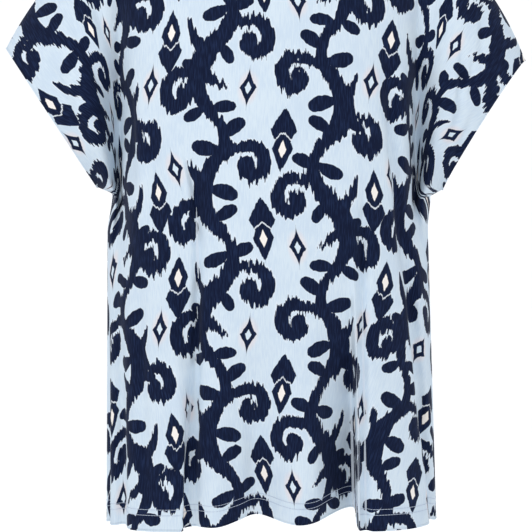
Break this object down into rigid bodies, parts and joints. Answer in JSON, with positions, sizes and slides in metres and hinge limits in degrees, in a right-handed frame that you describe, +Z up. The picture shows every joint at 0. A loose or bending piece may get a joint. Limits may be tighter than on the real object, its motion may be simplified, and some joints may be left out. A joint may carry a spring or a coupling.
{
  "type": "t-shirt",
  "caption": "Loose jersey t-shirt with a round neck and short cut-on sleeves, kept open and filled out as worn.",
  "frame": {"origin": "middle of the neck, level with the tops of the shoulder seams, where the wearer's shoulders hold the garment", "axes": "+X to the right of someone who looks at the front, +Y from front to back, +Z up"},
  "size_m": [0.5959, 0.2382, 0.7323],
  "materials": {
    "printed_jersey": "soft matt viscose jersey, navy print on pale blue",
    "neckband_jersey": "soft matt viscose jersey, cut from the same print"
  },
  "bodies": {
    "root": {"front": "printed_jersey", "back": "printed_jersey", "neckband": "neckband_jersey"}
  },
  "joints": []
}
